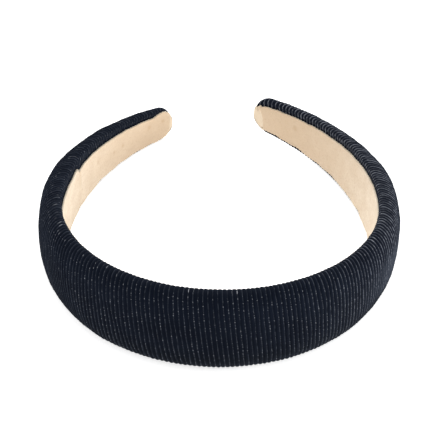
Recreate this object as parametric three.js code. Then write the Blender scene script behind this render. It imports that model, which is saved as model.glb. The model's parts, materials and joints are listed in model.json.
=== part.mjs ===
// Padded headband: a springy plastic core, a foam pad on its outer face, a ribbed velvet cover pulled over
// both and turned in round the edges, a microsuede lining glued over the turned-in hems, and a wrap of the
// same microsuede round each tip.
//
// The band lies on its side edge. It is described by three coordinates, all in millimetres:
//   s  the arc length along the band, from 0 at the crown, negative to the left tip, positive to the right
//   n  the distance outwards from the seam line, where the domed outer face meets the flat inner side
//   b  the distance across the band, positive towards the upper edge
// The real band bends all along its crown. Here each arm turns on one pivot at its shoulder, so each strip is
// cut there into a crown piece and two arm pieces, with a wedge of room between them.

import * as THREE from 'three';

const degrees = Math.PI / 180;

// Plan of the seam line: a crown arc, an arm arc and a short, tighter arc at the tip.
const CROWN_RADIUS = 61.9;
const CROWN_SWEEP = 85.3 * degrees;
const ARM_RADIUS = 102;
const TIP_RADIUS = 49;
const TIP_SWEEP = 10.3 * degrees;

// Each arm's own shape: it sweeps, twists, lifts, bows outwards and rises a little differently, as a
// hand-made band does. `bow` and `rise` are the sizes of a half wave, a full wave and a ramp along the arm.
// The lining is glued on lower than the middle of the band: `liningMargin` is the strip of cover left bare
// over it, as its size at the crown, a half wave and a ramp.
const LEFT = {
  armSweep: 52.1 * degrees,
  twist: 2.6 * degrees,
  lift: -2.75,
  tipHeight: 2,
  bow: [-0.42, 0.76, 0.18],
  rise: [1.17, -0.38, -0.82],
  liningMargin: [3.6, 2.8, -1.1],
};
const RIGHT = {
  armSweep: 56.6 * degrees,
  twist: -5.3 * degrees,
  lift: 0.3,
  tipHeight: 2.4,
  bow: [0.77, -1.14, -0.16],
  rise: [-1.27, 0.43, -0.32],
  liningMargin: [3.6, -0.2, -0.1],
};

// Section of the band: its width, the dome's height over the seam line and the flat side's depth under it.
const CROWN_WIDTH = 32.7;
const TIP_WIDTH = 15.6;
const TAPER_START = 0.37;
const TAPER_SOFTNESS = 0.22;
const CROWN_HEIGHT = 6.9;
const ARM_HEIGHT = 8.6;
const SWELL_START = 0.42;
const SWELL_END = 0.64;
const SINK_START = 0.56;
const SINK_END = 1.04;
const FLAT_DEPTH = 2.35;
const DOME_POWER = 2.4;
const DOME_STEPS = 12;
const TIP_ROUNDING = 7.3;
const TIP_HEIGHT_SHARE = 0.5;

// Thickness of each layer, and the gap that stands for its glue line.
const GAP = 0.3;
const LINING_THICKNESS = 0.6;
const COVER_THICKNESS = 0.75;
const CORE_THICKNESS = 1.7;
const CORE_TIP_THICKNESS = 1.2;
const CORE_WIDTH_SHARE = 0.74;
const HEM_DEPTH = 8;
const HEM_CLEARANCE = 1.1;
const EDGE_RADIUS = 0.45;
const LINING_LOWER_MARGIN = 1.5;

// Where each strip ends, measured back from the tip.
const COVER_END = 2.6;
const LINING_END = 2.9;
const FOAM_END = 14;
const CORE_END = 1.7;
const WRAP_END = 0.15;
const CORE_ROUNDING = 5;
const CORE_BLUNTNESS = 0.4;
const WRAP_CROWN_SHARE = 0.6;
const WRAP_OUTER_RINGS = [0.45, 0.9, 1.5];
const WRAP_INNER_RING = 1.3;

// Shoulder pivots, and the wedge of room that an arm needs to open outwards and to be squeezed inwards.
const PIVOT_S = 48.6;
const PIVOT_N = 0.45;
const WEDGE_HALF_GAP = 0.57;
const WEDGE_SLOPE = 0.12;

// Rings of the lofts.
const CROWN_RINGS = 15;
const ARM_RINGS = 19;
const TIP_RINGS = 5;
const TIP_ZONE = 7.5;
const TIP_CROWDING = 1.5;

// How it lies: the plane of the band leans back on its wide shoulders, and the soft edge is pressed flat
// where it meets the table.
const LEAN_BACK = 2.1 * degrees;
const LEAN_LEFT = -0.67 * degrees;
const PRESSED_DEPTH = 0.4;

// ---------------------------------------------------------------- the band's line and section

function armLength(side) {
  return CROWN_RADIUS * CROWN_SWEEP + ARM_RADIUS * side.armSweep + TIP_RADIUS * TIP_SWEEP;
}

// Point and direction of the seam line at a distance from the crown, on the right-hand side.
function planPoint(distance, side) {
  const arcs = [
    { radius: CROWN_RADIUS, sweep: CROWN_SWEEP },
    { radius: ARM_RADIUS, sweep: side.armSweep },
    { radius: TIP_RADIUS, sweep: TIP_SWEEP },
  ];
  let x = 0;
  let y = 0;
  let angle = 0;
  let left = distance;
  arcs.forEach((arc, index) => {
    const last = index === arcs.length - 1;
    const length = last ? left : Math.min(left, arc.radius * arc.sweep);
    const next = angle + length / arc.radius;
    x += arc.radius * (Math.sin(next) - Math.sin(angle));
    y += arc.radius * (Math.cos(angle) - Math.cos(next));
    angle = next;
    left -= length;
  });
  return { x, y, angle };
}

// A ramp that is 0 at first, turns softly at the start and reaches 1 at the tip.
function taper(along) {
  const ramp = (v) => (v + Math.hypot(v, TAPER_SOFTNESS)) / 2;
  return (ramp(along - TAPER_START) - ramp(-TAPER_START)) / (ramp(1 - TAPER_START) - ramp(-TAPER_START));
}

function halfWidth(along) {
  return (CROWN_WIDTH + (TIP_WIDTH - CROWN_WIDTH) * taper(along)) / 2;
}

// The dome swells slightly towards the middle of the arm, and sinks towards the tip.
function domeHeight(along, side) {
  const swell = THREE.MathUtils.smoothstep(along, SWELL_START, SWELL_END);
  const sink = THREE.MathUtils.smoothstep(along, SINK_START, SINK_END);
  const full = CROWN_HEIGHT + (ARM_HEIGHT - CROWN_HEIGHT) * swell;
  return full + (side.tipHeight - full) * sink;
}

// Quarter-ellipse factor that rounds off a strip's end over a given length.
function rounding(distanceLeft, length) {
  const inside = Math.min(Math.max(1 - distanceLeft / length, 0), 1);
  return Math.sqrt(1 - inside * inside);
}

// Sizes of the band at a signed arc length.
function sizes(s) {
  const side = s < 0 ? LEFT : RIGHT;
  const length = armLength(side);
  const distance = Math.min(Math.abs(s), length);
  const along = distance / length;
  const tip = rounding(length - distance, TIP_ROUNDING);
  const coreLeft = length - CORE_END + CORE_BLUNTNESS - distance;
  const [atCrown, halfWave, ramp] = side.liningMargin;
  return {
    half: halfWidth(along) * tip,
    core: halfWidth(along) * CORE_WIDTH_SHARE * rounding(coreLeft, CORE_ROUNDING),
    height: domeHeight(along, side) * Math.max(tip, TIP_HEIGHT_SHARE),
    liningMargin: atCrown + halfWave * Math.sin(Math.PI * along) + ramp * along,
    coreThickness: CORE_THICKNESS + (CORE_TIP_THICKNESS - CORE_THICKNESS) * taper(along),
  };
}

function unevenness([halfWave, fullWave, ramp], along) {
  return halfWave * Math.sin(Math.PI * along) + fullWave * Math.sin(2 * Math.PI * along) + ramp * along;
}

// Turns band coordinates into a point of the band's own frame.
function place(s, n, b) {
  const side = s < 0 ? LEFT : RIGHT;
  const distance = Math.abs(s);
  const along = distance / armLength(side);
  const plan = planPoint(distance, side);
  const twist = side.twist * along * along;
  const out = n + unevenness(side.bow, along);
  const rise = side.lift * along * along + unevenness(side.rise, along);
  const outwards = out * Math.cos(twist) - b * Math.sin(twist);
  const upwards = b * Math.cos(twist) + out * Math.sin(twist) + rise;
  const x = plan.x + outwards * Math.sin(plan.angle);
  const y = plan.y - outwards * Math.cos(plan.angle);
  return new THREE.Vector3(s < 0 ? -x : x, y, upwards);
}

// ---------------------------------------------------------------- sections, counter-clockwise in (b, n)

// The domed outer face from one edge to the other, kept `inset` inside the band's own surface. It starts and
// stops at the height `base`.
function dome(size, inset, base = 0) {
  const points = [];
  const span = 2 * Math.acos((base / (size.height - inset)) ** (DOME_POWER / 2));
  for (let step = 0; step <= DOME_STEPS; step += 1) {
    const phi = (step / DOME_STEPS - 0.5) * span;
    const across = Math.sign(Math.sin(phi)) * Math.abs(Math.sin(phi)) ** (2 / DOME_POWER);
    const up = Math.abs(Math.cos(phi)) ** (2 / DOME_POWER);
    points.push([-across * (size.half - inset), up * (size.height - inset)]);
  }
  return points;
}

function coverSection(size) {
  const hemInner = -FLAT_DEPTH + LINING_THICKNESS + GAP;
  const hemOuter = hemInner + COVER_THICKNESS;
  const hemEdge = Math.max(size.half - HEM_DEPTH, HEM_CLEARANCE);
  const inside = dome(size, COVER_THICKNESS).reverse();
  return [
    ...dome(size, 0),
    [-size.half, hemInner + EDGE_RADIUS],
    [-size.half + EDGE_RADIUS, hemInner],
    [-hemEdge, hemInner],
    [-hemEdge, hemOuter],
    [-size.half + COVER_THICKNESS, hemOuter],
    ...inside,
    [size.half - COVER_THICKNESS, hemOuter],
    [hemEdge, hemOuter],
    [hemEdge, hemInner],
    [size.half - EDGE_RADIUS, hemInner],
    [size.half, hemInner + EDGE_RADIUS],
  ];
}

function coreSection(size) {
  const bottom = -FLAT_DEPTH + LINING_THICKNESS + COVER_THICKNESS + 2 * GAP;
  const top = bottom + size.coreThickness;
  const bevel = EDGE_RADIUS;
  return [
    [size.core - bevel, top],
    [-size.core + bevel, top],
    [-size.core, top - bevel],
    [-size.core, bottom + bevel],
    [-size.core + bevel, bottom],
    [size.core - bevel, bottom],
    [size.core, bottom + bevel],
    [size.core, top - bevel],
  ];
}

// The pad is flat where it is glued to the core, and domed like the cover over it.
function foamSection(size) {
  const bottom = -FLAT_DEPTH + LINING_THICKNESS + COVER_THICKNESS + 3 * GAP + size.coreThickness;
  return dome(size, COVER_THICKNESS + GAP, bottom);
}

function liningSection(size) {
  const upper = size.half - size.liningMargin;
  const lower = -size.half + LINING_LOWER_MARGIN;
  const inner = -FLAT_DEPTH;
  const outer = inner + LINING_THICKNESS;
  return [
    [upper, outer],
    [0, outer],
    [lower, outer],
    [lower, inner],
    [0, inner],
    [upper, inner],
  ];
}

// ---------------------------------------------------------------- lofts

// Plane of the table in the band's own frame, so that the lowest edge can be pressed flat on it.
const lean = new THREE.Euler(-LEAN_BACK, LEAN_LEFT, 0);
const upwards = new THREE.Vector3(0, 0, 1).applyQuaternion(new THREE.Quaternion().setFromEuler(lean).invert());

function lowestPoint() {
  let lowest = Infinity;
  for (const side of [LEFT, RIGHT]) {
    for (let distance = 0; distance <= armLength(side) - COVER_END; distance += 1) {
      const s = side === LEFT ? -distance : distance;
      const point = place(s, 0, -sizes(s).half);
      lowest = Math.min(lowest, point.dot(upwards));
    }
  }
  return lowest;
}

const tableLevel = lowestPoint() + PRESSED_DEPTH;

function pressFlat(point) {
  const below = tableLevel - point.dot(upwards);
  return below > 0 ? point.addScaledVector(upwards, below) : point;
}

// Joins rings of points that run in the order of rising s, and closes both ends. Where the rings run the
// other way, `reversed` turns the faces round.
function loftedMesh(name, rings, section, material, reversed = false) {
  const count = section.length;
  const triangles = [];
  for (let ring = 0; ring < rings.length - 1; ring += 1) {
    for (let k = 0; k < count; k += 1) {
      const a = ring * count + k;
      const b = ring * count + ((k + 1) % count);
      triangles.push(a, b, b + count, a, b + count, a + count);
    }
  }
  const outline = section.map(([b, n]) => new THREE.Vector2(b, n));
  const lastRing = (rings.length - 1) * count;
  for (const [a, b, c] of THREE.ShapeUtils.triangulateShape(outline, [])) {
    triangles.push(a, c, b, lastRing + a, lastRing + b, lastRing + c);
  }
  if (reversed) {
    triangles.reverse();
  }
  const geometry = new THREE.BufferGeometry();
  const positions = rings.flat().flatMap((point) => [point.x, point.y, point.z]);
  geometry.setAttribute('position', new THREE.Float32BufferAttribute(positions, 3));
  geometry.setIndex(triangles);
  geometry.computeVertexNormals();
  const mesh = new THREE.Mesh(geometry, material);
  mesh.name = name;
  return mesh;
}

// Lofts a section along the band. `from` and `to` give the arc length of each end for a height n, so that an
// end face can slope. `steps` are the shares of the way at which the rings stand.
function strip(name, section, from, to, steps, material) {
  let outline;
  const rings = steps.map((share) => {
    const middle = from(PIVOT_N) + (to(PIVOT_N) - from(PIVOT_N)) * share;
    outline = section(sizes(middle));
    return outline.map(([b, n]) => pressFlat(place(from(n) + (to(n) - from(n)) * share, n, b)));
  });
  return loftedMesh(name, rings, outline, material);
}

const evenSteps = (count) => Array.from({ length: count + 1 }, (_, k) => k / count);

// Ring places along an arm: even, then closer together where the tip is rounded.
function armSteps(length) {
  const zone = TIP_ZONE / length;
  const straight = evenSteps(ARM_RINGS).map((share) => share * (1 - zone));
  const tip = evenSteps(TIP_RINGS).slice(1).map((share) => 1 - zone * (1 - share) ** TIP_CROWDING);
  return [...straight, ...tip];
}

// The three pieces of one strip: crown, left arm and right arm, parted by the shoulders' wedges.
function splitStrip(name, section, end, material) {
  const wedge = (n) => WEDGE_HALF_GAP + WEDGE_SLOPE * (n - PIVOT_N);
  const crownEnd = (n) => PIVOT_S - wedge(n);
  const armStart = (n) => PIVOT_S + wedge(n);
  const leftEnd = armLength(LEFT) - end;
  const rightEnd = armLength(RIGHT) - end;
  const leftSteps = armSteps(leftEnd - PIVOT_S).map((share) => 1 - share).reverse();
  const rightSteps = armSteps(rightEnd - PIVOT_S);
  return [
    strip(`${name}_crown`, section, (n) => -crownEnd(n), crownEnd, evenSteps(CROWN_RINGS), material()),
    strip(`${name}_left_arm`, section, () => -leftEnd, (n) => -armStart(n), leftSteps, material()),
    strip(`${name}_right_arm`, section, armStart, () => rightEnd, rightSteps, material()),
  ];
}

// ---------------------------------------------------------------- tip wraps

// Outline of the wrap, kept `inset` inside the band's surface.
function wrapSection(size, inset) {
  const half = size.half - inset;
  const bottom = -FLAT_DEPTH + inset;
  const top = size.height - inset;
  const round = Math.min(EDGE_RADIUS, half / 2);
  return [
    [half * WRAP_CROWN_SHARE, top],
    [-half * WRAP_CROWN_SHARE, top],
    [-half, top / 2],
    [-half, bottom + round],
    [-half + round, bottom],
    [half - round, bottom],
    [half, bottom + round],
    [half, top / 2],
  ];
}

// A wrap is a cup of microsuede over the end of the core, open towards the arm. Its rings run from the
// closed tip along the outer skin to the mouth, and back along the inner skin to the pocket's floor.
function tipWrap(name, side, material) {
  const sign = side === LEFT ? -1 : 1;
  const length = armLength(side);
  const mouth = COVER_END - GAP;
  const pocketFloor = WRAP_END + LINING_THICKNESS;
  const outerSkin = [WRAP_END, ...WRAP_OUTER_RINGS, mouth].map((left) => ({ left, inset: 0 }));
  const innerSkin = [mouth, WRAP_INNER_RING, pocketFloor].map((left) => ({ left, inset: LINING_THICKNESS }));
  const rings = [...outerSkin, ...innerSkin].map(({ left, inset }) => {
    const s = sign * (length - left);
    return wrapSection(sizes(s), inset).map(([b, n]) => pressFlat(place(s, n, b)));
  });
  const section = wrapSection(sizes(sign * (length - mouth)), 0);
  return loftedMesh(name, rings, section, material, side === RIGHT);
}

// ---------------------------------------------------------------- materials and assembly

const velvet = () => new THREE.MeshStandardMaterial({ color: 0x20242f, roughness: 0.95, metalness: 0 });
const microsuede = () => new THREE.MeshStandardMaterial({ color: 0xe3cfb2, roughness: 0.9, metalness: 0 });
const plastic = () => new THREE.MeshStandardMaterial({ color: 0x1b1b1d, roughness: 0.5, metalness: 0 });
const foam = () => new THREE.MeshStandardMaterial({ color: 0xd9d6cc, roughness: 1, metalness: 0 });

const headband = new THREE.Group();
headband.add(...splitStrip('spring_core', coreSection, CORE_END, plastic));
headband.add(...splitStrip('foam_pad', foamSection, FOAM_END, foam));
headband.add(...splitStrip('ribbed_cover', coverSection, COVER_END, velvet));
headband.add(...splitStrip('inner_lining', liningSection, LINING_END, microsuede));
headband.add(tipWrap('left_tip_wrap', LEFT, microsuede()));
headband.add(tipWrap('right_tip_wrap', RIGHT, microsuede()));

// Lay the band down: lean it, stand it on the table and centre its outline over the origin.
headband.setRotationFromEuler(lean);
headband.updateMatrixWorld(true);
const outlineBox = new THREE.Box3().setFromObject(headband, true);
const centre = outlineBox.getCenter(new THREE.Vector3());
headband.position.set(-centre.x, -centre.y, -outlineBox.min.z);

const model = new THREE.Group();
model.add(headband);

export default model;
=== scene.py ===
"""A padded headband lying on a table: ribbed velvet cover, microsuede lining and tip wraps, foam and core.

Every strip of the band is made in two halves that meet at the crown. The band is described by the coordinates
of its CAD model, in millimetres:
    s  the arc length from the crown towards a tip
    n  the distance outwards from the seam line, where the domed outer face meets the flat inner side
    b  the distance across the band, positive towards the upper edge
"""

import json
import math

import bpy
import numpy as np
from mathutils import Matrix, Vector


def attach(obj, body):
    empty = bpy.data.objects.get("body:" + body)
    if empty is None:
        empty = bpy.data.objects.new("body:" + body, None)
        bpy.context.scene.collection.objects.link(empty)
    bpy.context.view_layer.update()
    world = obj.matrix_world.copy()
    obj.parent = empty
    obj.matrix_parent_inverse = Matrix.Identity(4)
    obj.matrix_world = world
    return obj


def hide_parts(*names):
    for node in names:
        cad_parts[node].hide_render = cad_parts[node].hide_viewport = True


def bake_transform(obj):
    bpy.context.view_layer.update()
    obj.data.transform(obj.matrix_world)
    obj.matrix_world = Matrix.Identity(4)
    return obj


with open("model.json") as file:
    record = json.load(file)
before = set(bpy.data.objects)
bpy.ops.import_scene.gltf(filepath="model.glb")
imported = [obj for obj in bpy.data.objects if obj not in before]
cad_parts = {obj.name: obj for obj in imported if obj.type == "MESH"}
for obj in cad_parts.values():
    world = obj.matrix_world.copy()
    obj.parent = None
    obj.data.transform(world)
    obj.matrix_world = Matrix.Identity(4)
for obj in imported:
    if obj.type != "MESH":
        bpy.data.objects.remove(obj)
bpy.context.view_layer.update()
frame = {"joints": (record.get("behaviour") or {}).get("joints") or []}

MM = 0.001

# ---------------------------------------------------------------- driving dimensions, the CAD model's own

CROWN_RADIUS = 61.9
CROWN_SWEEP = math.radians(85.3)
ARM_RADIUS = 102
TIP_RADIUS = 49
TIP_SWEEP = math.radians(10.3)
PIVOT_S = 48.6
PIVOT_N = 0.45

CROWN_WIDTH = 32.7
TIP_WIDTH = 15.6
TAPER_START = 0.37
TAPER_SOFTNESS = 0.22
CROWN_HEIGHT = 6.9
ARM_HEIGHT = 8.6
SWELL_START = 0.42
SWELL_END = 0.64
SINK_START = 0.56
SINK_END = 1.04
FLAT_DEPTH = 2.35
DOME_POWER = 2.4
TIP_ROUNDING = 7.3
TIP_HEIGHT_SHARE = 0.5

GAP = 0.3
LINING_THICKNESS = 0.6
COVER_THICKNESS = 0.75
CORE_THICKNESS = 1.7
CORE_TIP_THICKNESS = 1.2
CORE_WIDTH_SHARE = 0.74
CORE_ROUNDING = 5
CORE_BLUNTNESS = 0.4
HEM_DEPTH = 8
COVER_END = 2.6
FOAM_END = 14
CORE_END = 1.7

HEM_N = -FLAT_DEPTH + LINING_THICKNESS + GAP
LINING_BACK_N = -FLAT_DEPTH + LINING_THICKNESS
CORE_N = HEM_N + COVER_THICKNESS + GAP

# ---------------------------------------------------------------- the soft surfaces' own dimensions

# Ribs: their pitch and the stretches along the band where it grows and partly shrinks again, their relief on
# the crown and what the arms add to it, the share of the relief that lies under the smooth surface, and the
# shares of a pitch at which the rings stand.
RIB_PITCH = 1.62
RIB_PITCH_ARM = 1.74
PITCH_GROWS = (50, 78)
PITCH_SHRINKS = (105, 150)
PITCH_SHRINK_SHARE = 0.6
RIB_RELIEF = 0.42
RIB_RELIEF_ARM = 0.3
RELIEF_GROWS = (60, 100)
RIB_ROUNDNESS = 0.62
RIB_SUNK_SHARE = 0.8
RIB_STEPS = (0, 0.07, 0.16, 0.3, 0.5, 0.7, 0.84, 0.93)

# The ribs lean from edge to edge, drift towards the crown over the dome, wander and vary a little, and run
# out towards the tip. The halves are alike where they meet.
RIB_LEAN = 3.6
LEAN_FADE_POWER = 8
RIB_DRIFT = 0.047
DRIFT_POWER = 0.42
RIB_WANDER = 0.12
RIB_VARIATION = 0.12
RIB_RUN_OUT = 0.85
RUN_OUT_START = 15
RUN_OUT_END = 6
MEETING_ZONE = 14
PADDING_SWELL = 0.14

# The cover's rolled edges and its end. `SHALLOW` is how much flatter the roll is where little cloth shows,
# between the two widths of `SHALLOW_MARGINS`. The hem gets shorter between the two distances from the tip.
EDGE_ROUND = 1.3
EDGE_ROUND_LEAST = 0.5
EDGE_ROUND_SHARE = 0.6
ROLL_DEPTH = 1.95
SHALLOW = 0.4
SHALLOW_MARGINS = (1, 3)
HEM_OVERLAP = 0.35
HEM_UNDERLAP = 0.06
HEM_RUN_OUT = (10, 20)
COVER_END_ROUND = 0.9
COVER_END_DEPTH = 0.5
COVER_SLANT_LENGTH = 12

# Distance over the cloth, for the material: half the dome, the curl of the edge and the roll inwards.
DOME_GIRTH = 20.4375
CURL_GIRTH = 2
ROLL_GIRTH = 3

# The lining: its cut edges, as steps of depth and bulge, which are scalloped and slightly uneven along it.
LINING_RINGS = 760
LINING_CROWDING = 0.012
LINING_EDGE_ROUND = 1.6
LINING_EDGE_THINNING = 0.34
LINING_WAVINESS = 0.025
LINING_LEAST = 0.4
CUT_STEPS = ((0.3, 0.03), (0.7, 0.03), (1, 0))
TOOTH_PITCH = 1.68
TOOTH_DEPTH = 0.11
UPPER_UNEVENNESS = 0.12
LOWER_UNEVENNESS = 0.22
SLIP_HEIGHT = 0.5
SLIP_WIDTH = 1.6

# The pleat on the left arm. The bare strip of cover over the lining narrows from `LEAD` to `LEAD_END` before
# it, is wider past it and settles from `SETTLE` to `SETTLE_END` after it. Each fold has its height, its place
# after the pleat, its lean, its width and the two heights on the lining between which it grows.
PLEAT_S = 122.1
PLEAT_SHIFT = 0.4
PLEAT_BEFORE = 1.1
PLEAT_LEAD = 8
PLEAT_LEAD_END = 0.5
PLEAT_AFTER = 0.9
PLEAT_SETTLE = 1
PLEAT_SETTLE_END = 10
FOLDS = ((0.5, 1.9, -0.05, 0.5, (-7, 1)), (0.3, -1.6, 0, 0.6, (1, 6)))

# How much, and how far from the left tip, the bare strip of cover over the lining narrows.
MARGIN_RUN_OUT = 0.75
MARGIN_RUN_OUT_START = 14
MARGIN_RUN_OUT_END = 2.4

# The tip wraps, which show for a few millimetres and tuck under the cover, the lining and the hem, each with
# a soft step at the covering edge. `WRAP_CUT` is how pale their nap looks.
WRAP_INSET = 0.2
WRAP_TUCK = 0.85
WRAP_TONGUE = 7.4
WRAP_SKIN = 0.4
WRAP_FLOOR = 0.22
WRAP_STEP = 0.36
WRAP_END_ROUND = 1.1
WRAP_END_SHARE = 0.3
WRAP_FIRST_RING = 0.06
WRAP_LEAST = 0.12
WRAP_CUT = 0.45
COVER_TUCK_START = 0.3
COVER_TUCK_END = 0.2
LINING_TUCK = (-0.2, 0.5)
HEM_TUCK_START = 0.1
HEM_TUCK_END = 0.4
HEM_TUCK_GAP = 0.1

FOAM_WAVINESS = 0.06


class Side:
    """One half of the band, from the crown to a tip."""

    def __init__(
        self,
        name,
        sign,
        arm_sweep,
        twist,
        lift,
        tip_height,
        bow,
        rise,
        margin,
        lower_margin,
        slips,
        stains,
        slant,
        seam,
    ):
        self.name = name
        self.body = f"{name}_arm"
        self.sign = sign
        self.twist = math.radians(twist)
        self.lift = lift
        self.tip_height = tip_height
        self.bow = bow
        self.rise = rise
        self.margin = margin
        self.lower_margin = lower_margin
        self.slips = slips
        self.stains = stains
        self.slant = slant
        self.seam = seam
        arm_length = ARM_RADIUS * math.radians(arm_sweep)
        self.arcs = (
            (CROWN_RADIUS, CROWN_RADIUS * CROWN_SWEEP),
            (ARM_RADIUS, arm_length),
            (TIP_RADIUS, math.inf),
        )
        self.length = CROWN_RADIUS * CROWN_SWEEP + arm_length + TIP_RADIUS * TIP_SWEEP


# `bow` and `rise` are the sizes of a half wave, a full wave and a ramp, outwards and upwards.
# `margin` is the strip of cover left bare over the lining: its size at the crown, a half wave and a ramp.
# `slips` are the places where the lining's lower edge stands a little higher, and `stains` are soft spots
# on it, each an arc length, a height and a radius.
# `slant` is how much nearer to the tip the cover's upper edge ends than its middle, and how much farther
# from it the lower edge ends.
# `seam` gives the lining's end, measured back from the tip, as a curve across the band.
LEFT = Side(
    "left",
    -1,
    arm_sweep=52.1,
    twist=2.6,
    lift=-2.75,
    tip_height=2,
    bow=(-0.42, 0.76, 0.18),
    rise=(1.17, -0.38, -0.82),
    margin=(3.6, 2.8, -1.1),
    lower_margin=1.3,
    slips=(),
    stains=((142.2, 0.4, 1.1), (155.2, -1.1, 0.8), (161.7, -0.7, 0.9), (179.2, 1.7, 1.3), (187.6, 2.4, 1)),
    slant=(0.3, 1.5),
    seam=(1.9, -0.4, 0.3),
)
RIGHT = Side(
    "right",
    1,
    arm_sweep=56.6,
    twist=-5.3,
    lift=0.3,
    tip_height=2.4,
    bow=(0.77, -1.14, -0.16),
    rise=(-1.27, 0.43, -0.32),
    margin=(3.6, -0.2, -0.1),
    lower_margin=1.7,
    slips=(111, 126, 152, 188),
    stains=((178.4, 1.1, 1.2),),
    slant=(1.3, 3.3),
    seam=(4.8, -1.875, -0.625),
)


def band_axes():
    """Origin and axes of the band's own frame in the world, found from the two shoulder hinges."""
    hinges = {joint["child"]: joint for joint in frame["joints"]}
    left = Vector(hinges["left_arm"]["pos_m"])
    right = Vector(hinges["right_arm"]["pos_m"])
    z_axis = Vector(hinges["left_arm"]["axis"]).normalized()
    x_axis = (right - left).normalized()
    y_axis = z_axis.cross(x_axis)
    hinge_y = CROWN_RADIUS - (CROWN_RADIUS + PIVOT_N) * math.cos(PIVOT_S / CROWN_RADIUS)
    origin = (left + right) / 2 - y_axis * hinge_y * MM
    return np.array(origin), np.array([x_axis, y_axis, z_axis])


ORIGIN, AXES = band_axes()


def to_world(points):
    """World points, in metres, of points of the band's own frame."""
    return np.asarray(points, float) @ AXES * MM + ORIGIN


# ---------------------------------------------------------------- the band's line and section


def smoothstep(value, low, high):
    share = np.clip((value - low) / (high - low), 0, 1)
    return share * share * (3 - 2 * share)


def seam_line(side, s):
    """Place and direction of the seam line, on the right-hand side, at a distance from the crown."""
    x = np.zeros_like(s)
    y = np.zeros_like(s)
    angle = np.zeros_like(s)
    left = s
    for radius, length in side.arcs:
        step = np.minimum(left, length)
        turned = angle + step / radius
        x = x + radius * (np.sin(turned) - np.sin(angle))
        y = y + radius * (np.cos(angle) - np.cos(turned))
        angle = turned
        left = left - step
    return x, y, angle


def taper(along):
    def ramp(v):
        return (v + np.hypot(v, TAPER_SOFTNESS)) / 2

    return (ramp(along - TAPER_START) - ramp(-TAPER_START)) / (ramp(1 - TAPER_START) - ramp(-TAPER_START))


def half_width(along):
    return (CROWN_WIDTH + (TIP_WIDTH - CROWN_WIDTH) * taper(along)) / 2


def rounding(distance_left, length):
    """Quarter-ellipse factor that rounds off a strip's end over a given length."""
    inside = np.clip(1 - distance_left / length, 0, 1)
    return np.sqrt(1 - inside * inside)


def sizes(side, s):
    """Half width and dome height of the band."""
    along = np.minimum(np.abs(s), side.length) / side.length
    tip = rounding(side.length - s, TIP_ROUNDING)
    swell = smoothstep(along, SWELL_START, SWELL_END)
    sink = smoothstep(along, SINK_START, SINK_END)
    full = CROWN_HEIGHT + (ARM_HEIGHT - CROWN_HEIGHT) * swell
    height = full + (side.tip_height - full) * sink
    return half_width(along) * tip, height * np.maximum(tip, TIP_HEIGHT_SHARE)


def unevenness(wave_sizes, along):
    half_wave, full_wave, ramp = wave_sizes
    return half_wave * np.sin(math.pi * along) + full_wave * np.sin(2 * math.pi * along) + ramp * along


def place(side, s, n, b):
    """World points, in metres, of band coordinates. What would sink into the table lies flat on it."""
    s, n, b = np.broadcast_arrays(np.asarray(s, float), n, b)
    x, y, angle = seam_line(side, s)
    along = np.abs(s) / side.length
    twist = side.twist * along**2
    out = n + unevenness(side.bow, along)
    outwards = out * np.cos(twist) - b * np.sin(twist)
    upwards = b * np.cos(twist) + out * np.sin(twist) + side.lift * along**2 + unevenness(side.rise, along)
    points = np.stack(
        [side.sign * (x + outwards * np.sin(angle)), y - outwards * np.cos(angle), upwards], -1
    )
    world = to_world(points)
    world[..., 2] = np.maximum(world[..., 2], 0)
    return world


# ---------------------------------------------------------------- outlines and lofts


class Outline:
    """A closed section. Each point is b = wide * half + b0 and n = tall * height + n0."""

    def __init__(self):
        self.rows = []

    def add(self, wide, b0, tall, n0, **marks):
        self.rows.append({"wide": wide, "b0": b0, "tall": tall, "n0": n0, **marks})

    def dome(self, angles, inset, **marks):
        """The domed outer face, `inset` inside the band's surface, along angles from -90 to 90 degrees."""
        for angle in np.radians(angles):
            across = -math.copysign(abs(math.sin(angle)) ** (2 / DOME_POWER), math.sin(angle))
            up = abs(math.cos(angle)) ** (2 / DOME_POWER)
            self.add(across, -across * inset, up, -up * inset, angle=math.sin(angle), **marks)

    def column(self, name, default=0.0):
        return np.array([row.get(name, default) for row in self.rows], float)

    def points(self, half, height):
        """(b, n) of every ring and point, from half and height as arrays of that shape."""
        b = self.column("wide") * half + self.column("b0")
        n = self.column("tall") * height + self.column("n0")
        return b, n


def build_mesh(name, rings, marks, flip):
    """A closed mesh through rings of points. `marks` are named numbers of each point, for the material."""
    ring_count, count, _ = rings.shape
    ring = np.arange(ring_count - 1)[:, None] * count
    a = ring + np.arange(count)
    b = ring + (np.arange(count) + 1) % count
    quads = np.stack([a, b, b + count, a + count], -1).reshape(-1, 4)
    faces = quads.tolist()
    side_count = len(faces)
    faces.append(list(range(count))[::-1])
    faces.append(list(range((ring_count - 1) * count, ring_count * count)))
    if flip:
        faces = [face[::-1] for face in faces]
    mesh = bpy.data.meshes.new(name)
    mesh.from_pydata(rings.reshape(-1, 3).tolist(), [], faces)
    smooth = np.ones(len(faces), bool)
    smooth[side_count:] = False
    mesh.polygons.foreach_set("use_smooth", smooth)
    for mark, values in marks.items():
        attribute = mesh.attributes.new(mark, "FLOAT", "POINT")
        spread = np.broadcast_to(values, (ring_count, count)).astype(np.float32)
        attribute.data.foreach_set("value", np.ascontiguousarray(spread).ravel())
    mesh.update()
    piece = bpy.data.objects.new(name, mesh)
    bpy.context.scene.collection.objects.link(piece)
    return piece


def bend_with(piece, side, *nodes):
    """Bakes the piece's place into its mesh and hides the CAD nodes that it stands for."""
    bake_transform(piece)
    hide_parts(*nodes)


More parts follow.
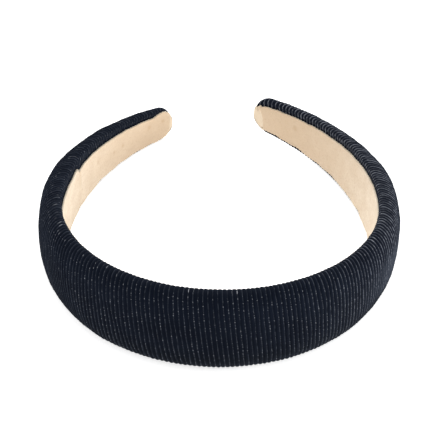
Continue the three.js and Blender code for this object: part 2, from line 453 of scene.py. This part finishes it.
def waves(seed, count, longest, shortest):
    """A smooth random curve of about -1 to 1, a sum of sines of the longest to the shortest wavelength."""
    random = np.random.default_rng(seed)
    lengths = np.geomspace(longest, shortest, count)
    phases = random.uniform(0, 2 * math.pi, count)

    def curve(x):
        total = sum(np.sin(2 * math.pi * x / length + phase) for length, phase in zip(lengths, phases))
        return total / math.sqrt(count)

    return curve


def bump_at(value, centre, width):
    """A smooth bump of height 1 at a centre."""
    return np.exp(-(((value - centre) / width) ** 2))


# ---------------------------------------------------------------- ribbed cover


def rib_places(side):
    """Ring places along the cover, as arc lengths of the dome's middle line, and their rib numbers."""
    end = side.length - COVER_END
    fine = np.linspace(0, end, 4000)
    wider = smoothstep(fine, *PITCH_GROWS) - PITCH_SHRINK_SHARE * smoothstep(fine, *PITCH_SHRINKS)
    pitch = RIB_PITCH + (RIB_PITCH_ARM - RIB_PITCH) * wider
    number = np.concatenate([[0], np.cumsum(np.diff(fine) / pitch[1:])])
    count = round(number[-1])
    number *= count / number[-1]
    ribs = (np.arange(count)[:, None] + np.array(RIB_STEPS)).ravel()
    ribs = np.append(ribs, count)
    return np.interp(ribs, number, fine), ribs


def edge_roll(outline, wide):
    """The cover's rolled edge, from the dome over the edge to the lining.

    `curl` is how far the roll has come in from the edge, `roll` the share of the way on to the lining,
    `under` how far it faces the head, and `low` is 1 at the roll's lowest place."""
    rows = []
    for angle in np.radians(np.linspace(0, 90, 8))[1:]:
        down = math.sin(angle)
        rows.append({"curl": 1 - math.cos(angle), "n0": -ROLL_DEPTH * down, "under": down, "low": down})
    for share in (0.15, 0.3, 0.45, 0.6, 0.8, 1):
        raised = smoothstep(share, 0.1, 0.6)
        n0 = (ROLL_DEPTH + HEM_N) * raised - ROLL_DEPTH
        rows.append({"curl": 1, "n0": n0, "under": 1 - share / 2, "roll": share, "low": 1 - raised})
    if wide > 0:
        rows.reverse()
    for row in rows:
        outline.add(wide, 0, 0, row.pop("n0"), relief=1, angle=-wide, **row)


def cover_outline():
    outline = Outline()
    outline.dome(90 * np.sin(np.radians(np.linspace(-90, 90, 39))), 0, relief=1)
    edge_roll(outline, -1)
    outline.add(-1, 0, 0, HEM_N, turned=1, angle=1, hem=1)
    outline.add(-1, 0, 0, HEM_N + COVER_THICKNESS, turned=1, angle=1, hem=1)
    outline.add(-1, COVER_THICKNESS, 0, HEM_N + COVER_THICKNESS, turned=1, angle=1)
    outline.dome((90, 66, 42, 20, 0, -20, -42, -66, -90), COVER_THICKNESS, turned=1)
    outline.add(1, -COVER_THICKNESS, 0, HEM_N + COVER_THICKNESS, turned=1, angle=-1)
    outline.add(1, 0, 0, HEM_N + COVER_THICKNESS, turned=1, angle=-1, hem=1)
    outline.add(1, 0, 0, HEM_N, turned=1, angle=-1, hem=1)
    edge_roll(outline, 1)
    return outline


def slant_at(side, across):
    """How much nearer to the tip the cover ends than in its middle. `across` is 1 at the lower edge."""
    nearer, farther = side.slant
    return nearer * np.maximum(-across, 0) - farther * np.maximum(across, 0)


def rib_relief(side, middle, ribs, across):
    """Height of the ribs over the smooth surface. They are deeper on the arm and run out at the tip."""
    end = side.length - COVER_END
    own = smoothstep(middle, 0, MEETING_ZONE)
    phase = np.abs(np.sin(math.pi * ribs))
    uneven = 1 + RIB_VARIATION * waves(23 + side.sign, 6, 30, 5)(middle + 4 * across) * own
    depth = RIB_RELIEF + RIB_RELIEF_ARM * smoothstep(middle, *RELIEF_GROWS)
    depth = depth * (1 - RIB_RUN_OUT * smoothstep(middle, end - RUN_OUT_START, end - RUN_OUT_END))
    return depth * (phase**RIB_ROUNDNESS * uneven - RIB_SUNK_SHARE)


def rib_lines(side, middle, sine, across):
    """Arc lengths along each rib, which leans, drifts and wanders, and how far its end slants."""
    end = side.length - COVER_END
    fade = 1 - (middle / end) ** LEAN_FADE_POWER
    lean = side.sign * RIB_LEAN * across / 2
    drift = -RIB_DRIFT * middle * (1 - (middle / end) ** 2) * (1 - sine**2) ** DRIFT_POWER
    own = smoothstep(middle, 0, MEETING_ZONE)
    wander = waves(11 + side.sign, 7, 40, 6)(middle + 9 * across) * RIB_WANDER * own
    slant = slant_at(side, across) * smoothstep(middle, end - COVER_SLANT_LENGTH, end)
    return middle + (lean + wander) * fade + drift + slant, slant


def cover_half(side):
    outline = cover_outline()
    middle, ribs = rib_places(side)
    middle = middle[:, None]
    ribs = ribs[:, None]
    sine = outline.column("angle")
    across = np.sign(sine) * np.abs(sine) ** (2 / DOME_POWER)
    s, slant = rib_lines(side, middle, sine, across)
    half, height = sizes(side, s)
    soft = outline.column("relief")
    end_left = side.length - COVER_END + slant - s
    close = (1 - rounding(end_left, COVER_END_ROUND)) * COVER_END_DEPTH
    raised = (rib_relief(side, middle, ribs, across) - close) * soft
    own = smoothstep(middle, 0, MEETING_ZONE)
    swell = PADDING_SWELL * waves(31 + side.sign, 5, 90, 22)(middle + 11 * across) * soft * own
    under = outline.column("under")
    wide = outline.column("wide")
    b, n = outline.points(half, height + raised + swell)
    b = b + wide * raised * (1 - under)
    n = n - raised * under
    margin = np.where(wide > 0, upper_margin(side, s), side.lower_margin)
    n = n + SHALLOW * (1 - smoothstep(margin, *SHALLOW_MARGINS)) * outline.column("low")
    radius = np.clip(EDGE_ROUND_SHARE * margin, EDGE_ROUND_LEAST, EDGE_ROUND)
    to_lining = margin + HEM_OVERLAP - radius
    b = b - wide * (outline.column("curl") * radius + outline.column("roll") * to_lining)
    hem = margin + HEM_OVERLAP + HEM_UNDERLAP
    hem = hem + (HEM_DEPTH - margin) * smoothstep(side.length - s, *HEM_RUN_OUT)
    b = b - wide * outline.column("hem") * hem
    rings = place(side, s, n, b)
    over_edge = CURL_GIRTH * outline.column("curl") + ROLL_GIRTH * outline.column("roll")
    girth = across * DOME_GIRTH - wide * over_edge
    marks = {"rib": ribs, "girth": girth, "along": side.sign * s, "turned": outline.column("turned")}
    piece = build_mesh(f"velvet_cover_{side.name}", rings, marks, flip=side.sign < 0)
    piece.data.materials.append(velvet())
    bend_with(piece, side, "ribbed_cover_crown", f"ribbed_cover_{side.body}")
    return piece


# ---------------------------------------------------------------- inner lining


def cut_edge(outline, wide, steps):
    """A cut edge of the lining, bulging a little."""
    for depth, bulge in steps:
        outline.add(wide, wide * bulge, 0, -FLAT_DEPTH + LINING_THICKNESS * depth, cut=1, back=depth)


def lining_outline():
    outline = Outline()
    for share in np.linspace(1, -1, 33):
        outline.add(share, 0, 0, -FLAT_DEPTH)
    cut_edge(outline, -1, CUT_STEPS)
    for share in np.linspace(-0.8, 0.8, 7):
        outline.add(share, 0, 0, LINING_BACK_N, back=1)
    cut_edge(outline, 1, CUT_STEPS[::-1])
    return outline


def upper_margin(side, s):
    """Bare strip of cover over the lining. On the left it steps at the pleat and narrows at the tip."""
    along = s / side.length
    size, half_wave, ramp = side.margin
    margin = size + half_wave * np.sin(math.pi * along) + ramp * along
    if side is LEFT:
        past = smoothstep(s, PLEAT_S - PLEAT_SHIFT, PLEAT_S + PLEAT_SHIFT)
        before = smoothstep(s, PLEAT_S - PLEAT_LEAD, PLEAT_S - PLEAT_LEAD_END) * (1 - past)
        after = past * (1 - smoothstep(s, PLEAT_S + PLEAT_SETTLE, PLEAT_S + PLEAT_SETTLE_END))
        margin = margin - PLEAT_BEFORE * before + PLEAT_AFTER * after
        run_out = smoothstep(s, side.length - MARGIN_RUN_OUT_START, side.length - MARGIN_RUN_OUT_END)
        margin = margin * (1 - MARGIN_RUN_OUT * run_out)
    return margin


def stains(side, s, b):
    """Strength of the faint stains on the lining, each a soft spot at a place on it."""
    total = np.zeros(np.broadcast_shapes(np.shape(s), np.shape(b)))
    for spot_s, spot_b, radius in side.stains:
        total = total + np.exp(-(((s - spot_s) / radius) ** 2) - ((b - spot_b) / radius) ** 2)
    return np.minimum(total, 1)


def crease(side, s, b):
    """Height of the two folds that the pleat throws across the lining."""
    if side is RIGHT:
        return 0
    return sum(
        height * (bump_at(s, PLEAT_S + after + lean * b, width) * smoothstep(b, *grows))
        for height, after, lean, width, grows in FOLDS
    )


def seam_at(side, share):
    """Distance from the tip at which the lining ends, from its lower edge, -1, to its upper edge, 1."""
    middle, slope, curve = side.seam
    return middle + slope * share + curve * share**2


def lining_half(side):
    outline = lining_outline()
    share = outline.column("wide")
    end = side.length - seam_at(side, share)
    steps = np.linspace(0, 1, LINING_RINGS)[:, None]
    steps = steps + LINING_CROWDING * np.sin(math.pi * steps) * steps
    s = steps / steps[-1] * end
    half, height = sizes(side, s)
    teeth = TOOTH_DEPTH * np.sin(2 * math.pi * s / TOOTH_PITCH)
    upper = upper_margin(side, s) + teeth + UPPER_UNEVENNESS * waves(41 + side.sign, 6, 24, 5)(s)
    lower = side.lower_margin + teeth + LOWER_UNEVENNESS * waves(53 + side.sign, 5, 22, 7)(s)
    lower = lower + sum(SLIP_HEIGHT * bump_at(s, slip, SLIP_WIDTH) for slip in side.slips)
    middle = (lower - upper) / 2
    reach = np.maximum(half - (lower + upper) / 2, LINING_LEAST)
    b, n = outline.points(reach, height)
    b = b + middle
    waviness = LINING_WAVINESS * waves(61 + side.sign, 6, 30, 7)(s + 3 * b)
    thin = LINING_EDGE_THINNING * (1 - rounding(end - s, LINING_EDGE_ROUND))
    n = n + (waviness + thin - crease(side, s, b)) * (1 - outline.column("back"))
    rings = place(side, s, n, b)
    # `cut` marks the cut edges, which the material paints paler as a painted highlight.
    cut = outline.column("cut")
    marks = {"along": side.sign * s, "across": b, "cut": cut, "stain": stains(side, s, b)}
    piece = build_mesh(f"suede_lining_{side.name}", rings, marks, flip=side.sign > 0)
    piece.data.materials.append(microsuede("lining suede"))
    bend_with(piece, side, "inner_lining_crown", f"inner_lining_{side.body}")
    return piece


# ---------------------------------------------------------------- tip wraps


def wrap_outline():
    """The dome, the sides and the flat inner face of a wrap."""
    outline = Outline()
    outline.dome(90 * np.sin(np.radians(np.linspace(-90, 90, 21))), 0)
    turn = np.radians(np.linspace(0, 90, 5))[1:]
    for angle in turn:
        outline.add(-1, EDGE_ROUND * (1 - math.cos(angle)), 0, 0, sunk=math.sin(angle))
    for share in np.linspace(-0.85, 0.85, 41):
        outline.add(share, 0, 0, 0, sunk=1)
    for angle in turn[::-1]:
        outline.add(1, -EDGE_ROUND * (1 - math.cos(angle)), 0, 0, sunk=math.sin(angle))
    return outline


def tip_wrap(side):
    outline = wrap_outline()
    sunk = outline.column("sunk")
    share = outline.column("wide")
    outer = WRAP_TONGUE * np.linspace(WRAP_FIRST_RING, 1, 34)[:, None] ** 2
    inner = np.linspace(WRAP_TONGUE, CORE_END, 10)[:, None]
    left = np.concatenate([outer, inner])
    skin_depth = np.concatenate([np.zeros_like(outer), np.full_like(inner, WRAP_SKIN)])
    s = side.length - left
    half, height = sizes(side, s)
    cover_end = COVER_END - slant_at(side, -share)
    tuck = smoothstep(left, cover_end - COVER_TUCK_START, cover_end + COVER_TUCK_END)
    inset = WRAP_INSET + (WRAP_TUCK - WRAP_INSET) * tuck + skin_depth
    under_lining = smoothstep(left - seam_at(side, share), *LINING_TUCK)
    floor = -FLAT_DEPTH + WRAP_FLOOR + WRAP_STEP * under_lining + skin_depth
    b, n = outline.points(np.maximum(half - inset, WRAP_LEAST), height - inset)
    margin = np.where(share > 0, upper_margin(side, s), side.lower_margin)
    from_lining = half - margin - np.abs(b)
    past_hem = smoothstep(from_lining, HEM_OVERLAP + HEM_TUCK_START, HEM_OVERLAP + HEM_TUCK_END)
    tucked = tuck * (1 - past_hem)
    floor = floor + (HEM_N + COVER_THICKNESS + HEM_TUCK_GAP - floor) * tucked * (skin_depth == 0)
    n = n + floor * sunk
    middle = (height - inset - FLAT_DEPTH) / 2
    rounded = WRAP_END_SHARE + (1 - WRAP_END_SHARE) * rounding(left, WRAP_END_ROUND)
    n = middle + (n - middle) * rounded
    rings = place(side, s, n, b)
    marks = {"along": side.sign * s, "across": b, "cut": WRAP_CUT}
    piece = build_mesh(f"suede_tip_wrap_{side.name}", rings, marks, flip=side.sign > 0)
    piece.data.materials.append(microsuede("wrap suede"))
    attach(piece, side.body)
    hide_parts(f"{side.name}_tip_wrap")
    return piece


# ---------------------------------------------------------------- foam pad and core


def foam_half(side):
    """The pad, flat on the core and domed under the cover. Its end thins out towards the tip."""
    end = side.length - FOAM_END
    s = np.linspace(0, end, 90)[:, None]
    half, height = sizes(side, s)
    inset = COVER_THICKNESS + GAP
    base = CORE_N + core_thickness(side, s) + GAP
    span = np.arccos(np.minimum(base / (height - inset), 1) ** (DOME_POWER / 2))
    angles = np.linspace(-1, 1, 25) * span
    across = -np.sign(np.sin(angles)) * np.abs(np.sin(angles)) ** (2 / DOME_POWER)
    up = np.abs(np.cos(angles)) ** (2 / DOME_POWER)
    waviness = FOAM_WAVINESS * waves(71 + side.sign, 5, 30, 9)(s + 20 * across)
    rings = place(side, s, up * (height - inset) - np.abs(waviness), across * (half - inset))
    marks = {"along": side.sign * s, "across": across * half}
    piece = build_mesh(f"foam_padding_{side.name}", rings, marks, flip=side.sign < 0)
    piece.data.materials.append(foam())
    bend_with(piece, side, "foam_pad_crown", f"foam_pad_{side.body}")
    return piece


def core_thickness(side, s):
    return CORE_THICKNESS + (CORE_TIP_THICKNESS - CORE_THICKNESS) * taper(np.abs(s) / side.length)


def core_half(side):
    """The springy strip, with round edges and a round end."""
    end = side.length - CORE_END
    s = end * np.sin(np.linspace(0, math.pi / 2, 140))[:, None]
    thickness = core_thickness(side, s)
    rounded = rounding(end + CORE_BLUNTNESS - s, CORE_ROUNDING)
    width = half_width(s / side.length) * CORE_WIDTH_SHARE * rounded
    turn = np.linspace(0, 2 * math.pi, 28, endpoint=False)
    radius = thickness / 2
    b = np.sign(np.cos(turn)) * (width - radius) + radius * np.cos(turn)
    n = CORE_N + radius + radius * np.sin(turn)
    rings = place(side, s, n, b)
    marks = {"along": side.sign * s, "across": b}
    piece = build_mesh(f"plastic_core_{side.name}", rings, marks, flip=side.sign > 0)
    piece.data.materials.append(plastic())
    bend_with(piece, side, "spring_core_crown", f"spring_core_{side.body}")
    return piece


# ---------------------------------------------------------------- materials


class Nodes:
    """A material's node tree, with short calls for the nodes that are used here."""

    def __init__(self, name):
        self.material = bpy.data.materials.new(name)
        self.material.use_nodes = True
        self.tree = self.material.node_tree
        self.shader = self.tree.nodes["Principled BSDF"]

    def add(self, kind, **settings):
        node = self.tree.nodes.new(kind)
        for key, value in settings.items():
            setattr(node, key, value)
        return node

    def feed(self, socket, value):
        if isinstance(value, bpy.types.NodeSocket):
            self.tree.links.new(value, socket)
        else:
            socket.default_value = value

    def mark(self, name):
        return self.add("ShaderNodeAttribute", attribute_name=name).outputs["Fac"]

    def math(self, operation, a, b=0.0):
        node = self.add("ShaderNodeMath", operation=operation)
        self.feed(node.inputs[0], a)
        self.feed(node.inputs[1], b)
        return node.outputs[0]

    def ramp(self, value, low, high, to_low=0.0, to_high=1.0):
        node = self.add("ShaderNodeMapRange", interpolation_type="SMOOTHSTEP")
        for socket, entry in zip(node.inputs, (value, low, high, to_low, to_high)):
            self.feed(socket, entry)
        return node.outputs[0]

    def vector(self, x, y, z=0.0):
        node = self.add("ShaderNodeCombineXYZ")
        for socket, entry in zip(node.inputs, (x, y, z)):
            self.feed(socket, entry)
        return node.outputs[0]

    def noise(self, vector, scale, detail=2.0, roughness=0.5):
        node = self.add("ShaderNodeTexNoise")
        self.feed(node.inputs["Vector"], vector)
        self.feed(node.inputs["Scale"], scale)
        self.feed(node.inputs["Detail"], detail)
        self.feed(node.inputs["Roughness"], roughness)
        return node.outputs["Fac"]

    def mix(self, share, a, b):
        node = self.add("ShaderNodeMix", data_type="RGBA")
        self.feed(node.inputs["Factor"], share)
        self.feed(node.inputs["A"], a)
        self.feed(node.inputs["B"], b)
        return node.outputs["Result"]

    def bump(self, height, distance):
        node = self.add("ShaderNodeBump")
        self.feed(node.inputs["Height"], height)
        self.feed(node.inputs["Distance"], distance)
        self.feed(self.shader.inputs["Normal"], node.outputs["Normal"])

    def finish(self, **sockets):
        for name, value in sockets.items():
            self.feed(self.shader.inputs[name.replace("_", " ")], value)
        return self.material


def colour(red, green, blue):
    """A linear colour from display values of 0 to 255."""

    def linear(value):
        share = value / 255
        return ((share + 0.055) / 1.055) ** 2.4 if value > 10 else share / 12.92

    return (linear(red), linear(green), linear(blue), 1.0)


def velvet():
    """Dark wales between pale, broken groove threads, with pale specks of lint and painted glints. Painted
    light: a lighter flank and lighter threads on the right arm, a lighter upper face and a darker lower face.
    """
    nodes = Nodes("navy ribbed velvet")
    rib = nodes.mark("rib")
    girth = nodes.mark("girth")
    along = nodes.mark("along")
    on_arm = nodes.ramp(nodes.math("ABSOLUTE", along), 62.0, 88.0)
    shifted = nodes.math("SUBTRACT", rib, nodes.math("MULTIPLY", on_arm, 0.13))
    to_groove = nodes.math("ABSOLUTE", nodes.math("SUBTRACT", nodes.math("FRACT", shifted), 0.5))
    groove = nodes.ramp(to_groove, 0.36, 0.48)
    weave = nodes.vector(nodes.math("MULTIPLY", rib, 0.9), nodes.math("MULTIPLY", girth, 0.45))
    broken = nodes.ramp(nodes.noise(weave, 1.0, 3.0, 0.7), 0.42, 0.62, 0.25, 1.0)
    # Pale specks in the grooves: partly lint and partly painted glints of the weave.
    fine = nodes.vector(nodes.math("MULTIPLY", rib, 2.3), nodes.math("MULTIPLY", girth, 1.6))
    lint_and_glints = nodes.math("MULTIPLY", nodes.ramp(nodes.noise(fine, 1.0, 2.0, 0.6), 0.57, 0.72), groove)
    lint_and_glints = nodes.math("MULTIPLY", lint_and_glints, nodes.ramp(on_arm, 0.0, 1.0, 1.0, 0.35))
    pile = nodes.noise(nodes.vector(along, girth), 3.2, 3.0, 0.6)
    patches = nodes.noise(nodes.vector(along, girth), 0.09, 2.0, 0.5)
    # Painted sheen: the wales on the right arm's flank are painted lighter, as if lit at a grazing angle from
    # the right.
    lit = nodes.ramp(along, 44.0, 95.0)
    flank = nodes.ramp(nodes.math("ABSOLUTE", girth), 4.0, 13.0, 1.0, 0.0)
    wale = nodes.mix(pile, colour(4, 7, 16), colour(10, 16, 28))
    wale = nodes.mix(nodes.ramp(patches, 0.4, 0.65, 0.0, 0.5), wale, colour(13, 19, 30))
    # Painted light: the wales are painted lighter towards the upper face, where the light falls from above.
    wale = nodes.mix(nodes.ramp(girth, -15.0, -2.0, 0.22, 0.0), wale, colour(25, 32, 46))
    # Painted shade: the wales are painted darker towards the lower face, which faces the table.
    wale = nodes.mix(nodes.ramp(girth, 3.0, 15.0, 0.0, 0.6), wale, colour(2, 4, 9))
    painted_flank_sheen = nodes.mix(pile, colour(40, 45, 55), colour(58, 63, 73))
    wale = nodes.mix(nodes.math("MULTIPLY", lit, flank), wale, painted_flank_sheen)
    # Painted light: the groove threads are painted paler towards the right arm, as if lit from the right.
    painted_light_right = nodes.ramp(along, 20.0, 75.0)
    thread = nodes.mix(painted_light_right, colour(60, 65, 75), colour(126, 130, 140))
    base = nodes.mix(nodes.math("MULTIPLY", groove, broken), wale, thread)
    # Pale lint and painted glints in the grooves.
    base = nodes.mix(lint_and_glints, base, colour(172, 175, 182))
    base = nodes.mix(nodes.mark("turned"), base, colour(7, 8, 12))
    nodes.bump(pile, 0.00012)
    nodes.shader.inputs["Sheen Weight"].default_value = 0.22
    nodes.shader.inputs["Sheen Roughness"].default_value = 0.35
    nodes.shader.inputs["Sheen Tint"].default_value = colour(120, 135, 160)
    nodes.shader.inputs["Specular IOR Level"].default_value = 0.05
    return nodes.finish(Base_Color=base, Roughness=0.9)


def microsuede(name):
    """Short beige nap, painted a little darker towards the tips as painted shade, and paler where the strip
    is cut as a painted highlight.
    """
    nodes = Nodes(name)
    place_on = nodes.vector(nodes.mark("along"), nodes.mark("across"))
    clouds = nodes.noise(place_on, 0.16, 3.0, 0.55)
    nap = nodes.noise(place_on, 0.75, 4.0, 0.65)
    fibre = nodes.noise(place_on, 2.6, 3.0, 0.65)
    base = nodes.mix(nodes.ramp(clouds, 0.3, 0.7), colour(221, 205, 184), colour(232, 219, 200))
    base = nodes.mix(nodes.ramp(nap, 0.35, 0.7, 0.0, 0.5), base, colour(213, 195, 171))
    # Painted shade: the nap is painted darker towards the tips, where the lining turns away from the light.
    from_crown = nodes.math("ABSOLUTE", nodes.mark("along"))
    base = nodes.mix(nodes.ramp(from_crown, 95.0, 190.0, 0.0, 0.75), base, colour(204, 179, 150))
    base = nodes.mix(nodes.ramp(fibre, 0.55, 0.75, 0.0, 0.35), base, colour(240, 224, 198))
    dots = nodes.noise(place_on, 1.1, 2.0, 0.6)
    base = nodes.mix(nodes.ramp(dots, 0.5, 0.7, 0.0, 0.4), base, colour(196, 171, 140))
    # Painted highlight: the lining's cut edges are painted paler where they catch the light; on the tip wraps
    # the same mark makes the whole nap paler.
    base = nodes.mix(nodes.math("MULTIPLY", nodes.mark("cut"), 0.8), base, colour(252, 240, 218))
    base = nodes.mix(nodes.math("MULTIPLY", nodes.mark("stain"), 0.5), base, colour(188, 158, 124))
    nodes.bump(fibre, 0.0001)
    nodes.shader.inputs["Sheen Weight"].default_value = 0.08
    nodes.shader.inputs["Sheen Roughness"].default_value = 0.5
    nodes.shader.inputs["Specular IOR Level"].default_value = 0.1
    return nodes.finish(Base_Color=base, Roughness=0.95)


def foam():
    nodes = Nodes("pale foam")
    place_on = nodes.vector(nodes.mark("along"), nodes.mark("across"))
    cells = nodes.noise(place_on, 2.5, 3.0, 0.6)
    base = nodes.mix(cells, colour(205, 202, 190), colour(226, 223, 212))
    nodes.bump(cells, 0.0002)
    return nodes.finish(Base_Color=base, Roughness=0.95)


def plastic():
    nodes = Nodes("black moulded plastic")
    place_on = nodes.vector(nodes.mark("along"), nodes.mark("across"))
    grain = nodes.noise(place_on, 3.0, 2.0, 0.5)
    base = nodes.mix(grain, colour(24, 24, 26), colour(34, 34, 37))
    nodes.bump(grain, 0.00003)
    return nodes.finish(Base_Color=base, Roughness=0.45)


# ---------------------------------------------------------------- camera, floor and light

VIEW_ELEVATION = math.radians(35.45)
VIEW_AZIMUTH = math.radians(-0.81)
VIEW_ROLL = math.radians(2.018)
VIEW_DISTANCE = 458.5
VIEW_CENTRE_Y = 73.87
VIEW_OFFSET = (-1.95, 7.1)
VIEW_LENS = 93.16

FLOOR_REACH = 3.0
FLOOR_GLOW = 0.66
WORLD_STRENGTH = 0.82


def add_camera():
    """The camera stands over the crown and looks towards the tips."""
    back = Vector(
        (
            math.sin(VIEW_AZIMUTH) * math.cos(VIEW_ELEVATION),
            -math.cos(VIEW_AZIMUTH) * math.cos(VIEW_ELEVATION),
            math.sin(VIEW_ELEVATION),
        )
    )
    level = Vector((math.cos(VIEW_AZIMUTH), math.sin(VIEW_AZIMUTH), 0))
    raised = back.cross(level)
    right = level * math.cos(VIEW_ROLL) + raised * math.sin(VIEW_ROLL)
    up = raised * math.cos(VIEW_ROLL) - level * math.sin(VIEW_ROLL)
    aside = right * VIEW_OFFSET[0] + up * VIEW_OFFSET[1]
    spot = Vector((0, VIEW_CENTRE_Y, 0)) + back * VIEW_DISTANCE - aside
    turn = Matrix(AXES.tolist()).transposed()
    columns = [turn @ axis for axis in (right, up, back)]
    camera = bpy.data.objects.new("camera", bpy.data.cameras.new("camera"))
    camera.data.lens = VIEW_LENS
    camera.matrix_world = Matrix.Translation(to_world(spot)) @ Matrix(columns).transposed().to_4x4()
    bpy.context.scene.collection.objects.link(camera)
    bpy.context.scene.camera = camera


def add_floor():
    nodes = Nodes("white table")
    grain = nodes.noise(nodes.add("ShaderNodeNewGeometry").outputs["Position"], 400.0)
    base = nodes.mix(grain, (0.93, 0.93, 0.93, 1.0), (0.95, 0.95, 0.95, 1.0))
    nodes.shader.inputs["Specular IOR Level"].default_value = 0.0
    nodes.shader.inputs["Emission Color"].default_value = (1, 1, 1, 1)
    nodes.shader.inputs["Emission Strength"].default_value = FLOOR_GLOW
    mesh = bpy.data.meshes.new("table")
    corners = [(x * FLOOR_REACH, y * FLOOR_REACH, 0) for x, y in ((-1, -1), (1, -1), (1, 1), (-1, 1))]
    mesh.from_pydata(corners, [], [(0, 1, 2, 3)])
    mesh.materials.append(nodes.finish(Base_Color=base, Roughness=1.0))
    floor = bpy.data.objects.new("table", mesh)
    bpy.context.scene.collection.objects.link(floor)


def add_softbox(name, spot, size, power):
    light = bpy.data.lights.new(name, "AREA")
    light.shape = "SQUARE"
    light.size = size
    light.energy = power
    softbox = bpy.data.objects.new(name, light)
    aim = Vector(spot).to_track_quat("Z", "Y")
    softbox.matrix_world = Matrix.Translation(spot) @ aim.to_matrix().to_4x4()
    bpy.context.scene.collection.objects.link(softbox)


def add_light():
    world = bpy.data.worlds.new("studio")
    world.use_nodes = True
    background = world.node_tree.nodes["Background"]
    background.inputs["Color"].default_value = (1, 1, 1, 1)
    background.inputs["Strength"].default_value = WORLD_STRENGTH
    bpy.context.scene.world = world
    add_softbox("back softbox", (-0.1, 0.85, 0.6), 0.7, 6)
    add_softbox("right softbox", (0.9, -0.05, 0.1), 0.26, 4.5)
    bpy.context.scene.view_settings.view_transform = "Standard"


# ---------------------------------------------------------------- assembly

add_camera()
add_floor()
add_light()
for side in (LEFT, RIGHT):
    core_half(side)
    foam_half(side)
    cover = cover_half(side)
    lining = lining_half(side)
    tip_wrap(side)
